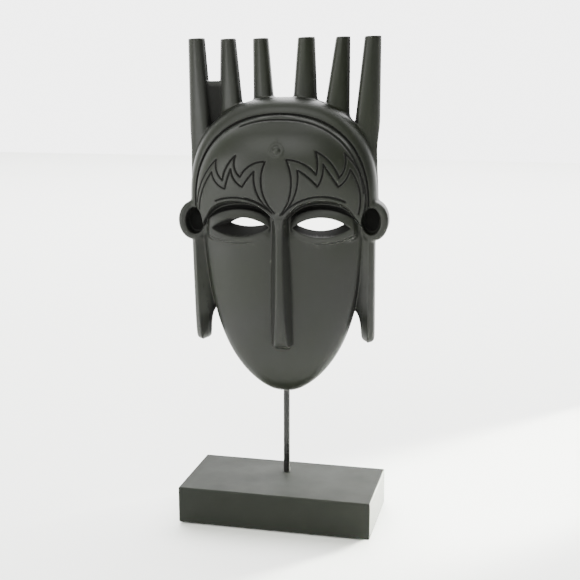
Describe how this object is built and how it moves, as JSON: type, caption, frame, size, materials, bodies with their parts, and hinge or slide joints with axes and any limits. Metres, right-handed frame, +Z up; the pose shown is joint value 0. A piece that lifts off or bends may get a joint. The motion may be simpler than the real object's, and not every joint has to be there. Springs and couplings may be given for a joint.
{
  "type": "carved mask on stand",
  "caption": "Hollow carved face mask with a tined crown, ears and side pendants, held on a thin steel rod in a rectangular block; it lifts off and turns.",
  "frame": {"origin": "centre of the felt's underside, on the surface that the stand rests on", "axes": "+Z up along the rod, +X to the viewer's right along the block's long side, -Y towards the viewer"},
  "size_m": [0.1287, 0.06, 0.2957],
  "materials": {
    "mask_paint": "satin black paint over carved wood",
    "sleeve_steel": "plain drawn steel tube",
    "rod_paint": "satin black paint on steel rod",
    "base_paint": "satin black paint over wood",
    "felt": "black wool felt"
  },
  "bodies": {
    "stand": {"base_block": "base_paint", "base_sleeve": "sleeve_steel", "base_felt": "felt"},
    "rod": {"stand_rod": "rod_paint"},
    "carving": {"mask": "mask_paint", "chin_sleeve": "sleeve_steel"}
  },
  "joints": [
    {"name": "rod_turn", "type": "hinge", "parent": "stand", "child": "rod", "pos_m": [-0.0007, 0.0116, 0.024], "axis": [0, 0, 1], "continuous": true},
    {"name": "mask_lift", "type": "slide", "parent": "rod", "child": "carving", "axis": [0, 0, 1], "range_m": [0, 0.04]}
  ]
}
